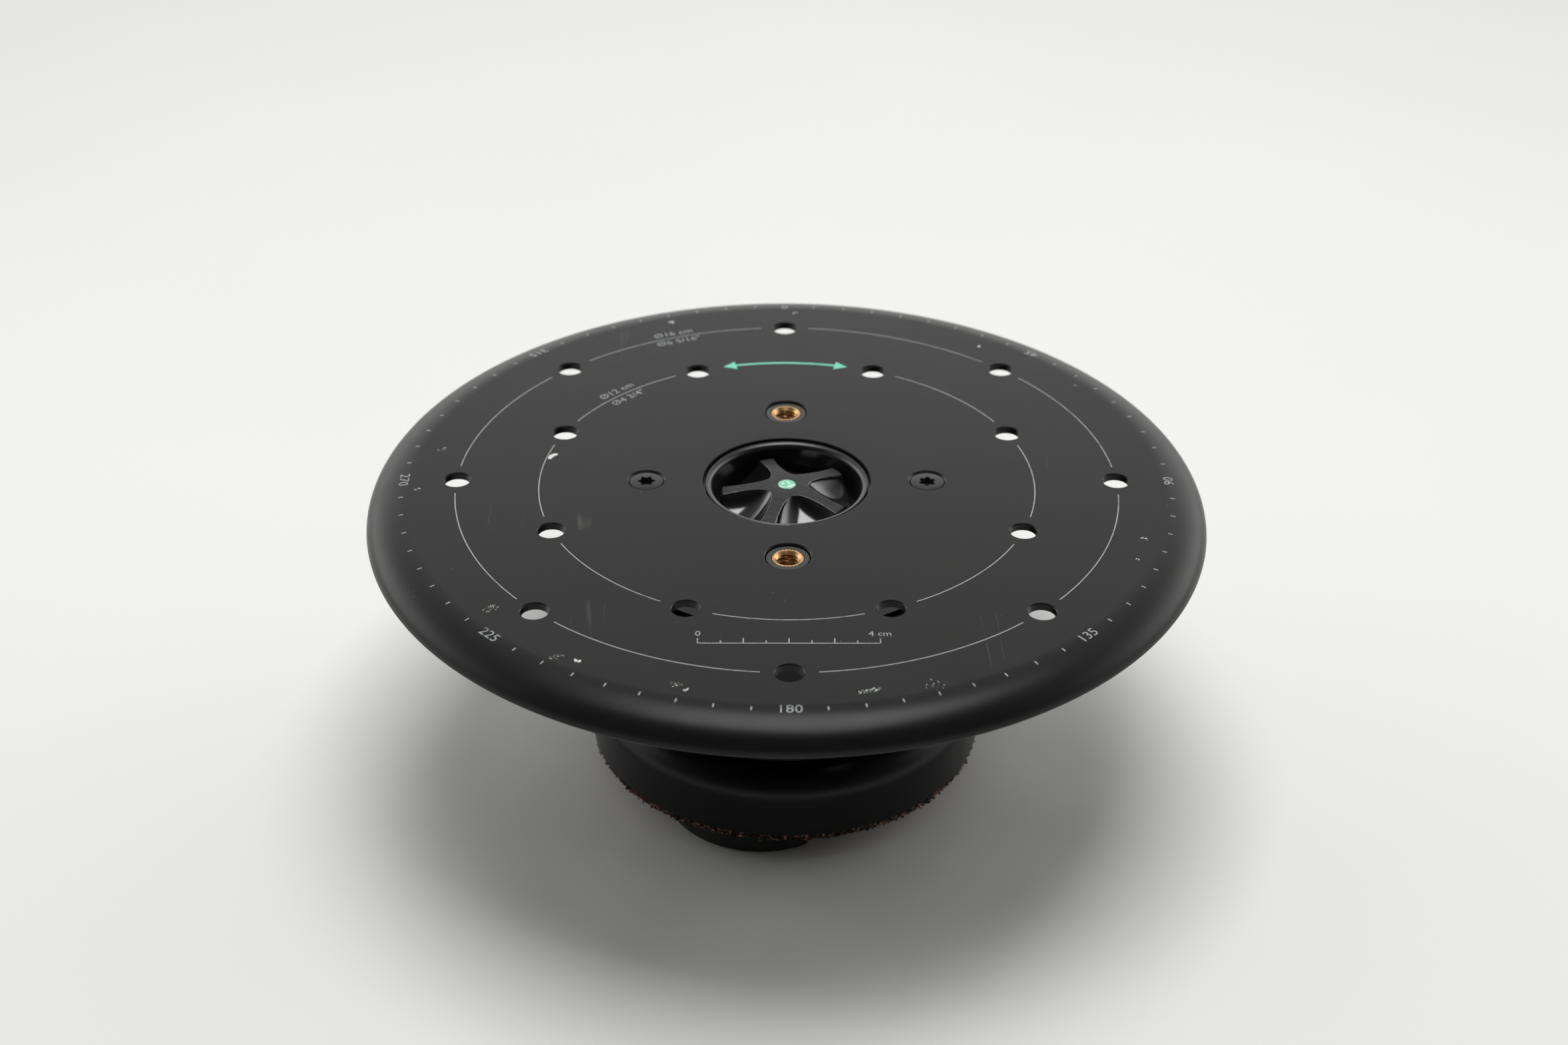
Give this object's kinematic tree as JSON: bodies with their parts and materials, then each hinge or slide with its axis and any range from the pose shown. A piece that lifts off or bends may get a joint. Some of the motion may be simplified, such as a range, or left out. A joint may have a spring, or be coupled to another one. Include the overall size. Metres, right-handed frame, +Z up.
{
  "type": "sculpting turntable",
  "caption": "Round black motorised turntable with a degree dial, threaded inserts, fixing holes and a centre clamp knob, on a stepped drum base.",
  "frame": {"origin": "centre of the floor under the feet, on the spin axis", "axes": "+Z up along the spin axis, -Y to the front (180 mark), +X to the right (90 mark)"},
  "size_m": [0.203, 0.203, 0.0785],
  "materials": {
    "platter_coating": "satin black powder coat",
    "hub_plastic": "satin moulded black",
    "brass": "turned and knurled",
    "black_screw": "black oxide, satin",
    "steel": "machined",
    "bearing_steel": "ground and polished",
    "pad_rubber": "matte",
    "disc_aluminium": "black anodised",
    "chassis_aluminium": "machined",
    "knob_plastic": "gloss scoops, fine texture on the ribs",
    "mint_inlay": "mint green, worn",
    "gear_nylon": "natural nylon",
    "cage_plastic": "glass-filled",
    "housing_plastic": "soft-touch black",
    "base_plastic": "soft-touch black",
    "cork_rubber": "granulated cork and rubber",
    "foot_rubber": "matte black",
    "board": "green solder mask",
    "chip": "moulded epoxy",
    "battery_wrap": "shrink wrap",
    "light_pipe": "clear",
    "cable_sheath": "matte",
    "plug_plastic": "natural nylon"
  },
  "bodies": {
    "base": {"base_drum": "base_plastic", "base_plate": "steel", "base_plate_screws": "steel", "cork_ring": "cork_rubber", "feet": "foot_rubber", "base_clamp_screw": "steel", "base_pad": "pad_rubber", "drive_housing": "housing_plastic", "chassis": "chassis_aluminium", "chassis_screws": "steel", "bearing_outer_race": "bearing_steel", "gear_pin": "steel", "gear_clip": "steel", "motor": "steel", "motor_screws": "steel", "circuit_board": "board", "board_screws": "steel", "board_chips": "chip", "battery_pack": "battery_wrap", "usb_socket": "steel", "status_light": "light_pipe", "button_switch": "chip", "motor_cable": "cable_sheath", "cable_plug": "plug_plastic"},
    "platter": {"platter": "platter_coating", "hub": "hub_plastic", "threaded_inserts": "brass", "platter_screws": "black_screw", "hub_pad": "pad_rubber", "drive_disc": "disc_aluminium", "spindle_screws": "steel", "output_spindle": "steel", "output_gear": "gear_nylon", "shaft_circlip": "steel", "bearing_inner_race": "bearing_steel"},
    "knob_carrier": {"knob_washer": "steel"},
    "knob": {"clamp_knob": "knob_plastic", "knob_stud": "steel", "knob_dot": "mint_inlay"},
    "ball_train": {"bearing_balls": "bearing_steel", "bearing_cage": "cage_plastic"},
    "middle_gear": {"compound_gear": "gear_nylon"},
    "rotor": {"motor_shaft": "steel", "motor_pinion": "brass"},
    "power_button": {"power_button": "base_plastic"}
  },
  "joints": [
    {"name": "platter_spin", "type": "hinge", "parent": "base", "child": "platter", "pos_m": [0, 0, 0.05], "axis": [0, 0, 1], "continuous": true},
    {"name": "ball_train_spin", "type": "hinge", "parent": "base", "child": "ball_train", "pos_m": [0, 0, 0.05], "axis": [0, 0, 1], "continuous": true},
    {"name": "middle_gear_spin", "type": "hinge", "parent": "base", "child": "middle_gear", "pos_m": [0.0252, 0, 0.036], "axis": [0, 0, 1], "continuous": true},
    {"name": "rotor_spin", "type": "hinge", "parent": "base", "child": "rotor", "pos_m": [0.02782, 0.01477, 0.036], "axis": [0, 0, 1], "continuous": true},
    {"name": "knob_rise", "type": "slide", "parent": "platter", "child": "knob_carrier", "axis": [0, 0, 1], "range_m": [0, 0.00317]},
    {"name": "knob_turn", "type": "hinge", "parent": "knob_carrier", "child": "knob", "pos_m": [0, 0, 0.07], "axis": [0, 0, 1], "range_deg": [0, 720.01]},
    {"name": "power_button_press", "type": "slide", "parent": "base", "child": "power_button", "axis": [0, -1, 0], "range_m": [0, 0.0008], "stiffness_N_per_m": 900, "springref_m": -0.0004}
  ],
  "couplings": [
    {"joint": "ball_train_spin", "follows": "platter_spin", "ratio": 0.41915},
    {"joint": "middle_gear_spin", "follows": "platter_spin", "ratio": -6},
    {"joint": "rotor_spin", "follows": "platter_spin", "ratio": 24},
    {"joint": "knob_turn", "follows": "knob_rise", "rad_per_m": 3957.9}
  ]
}
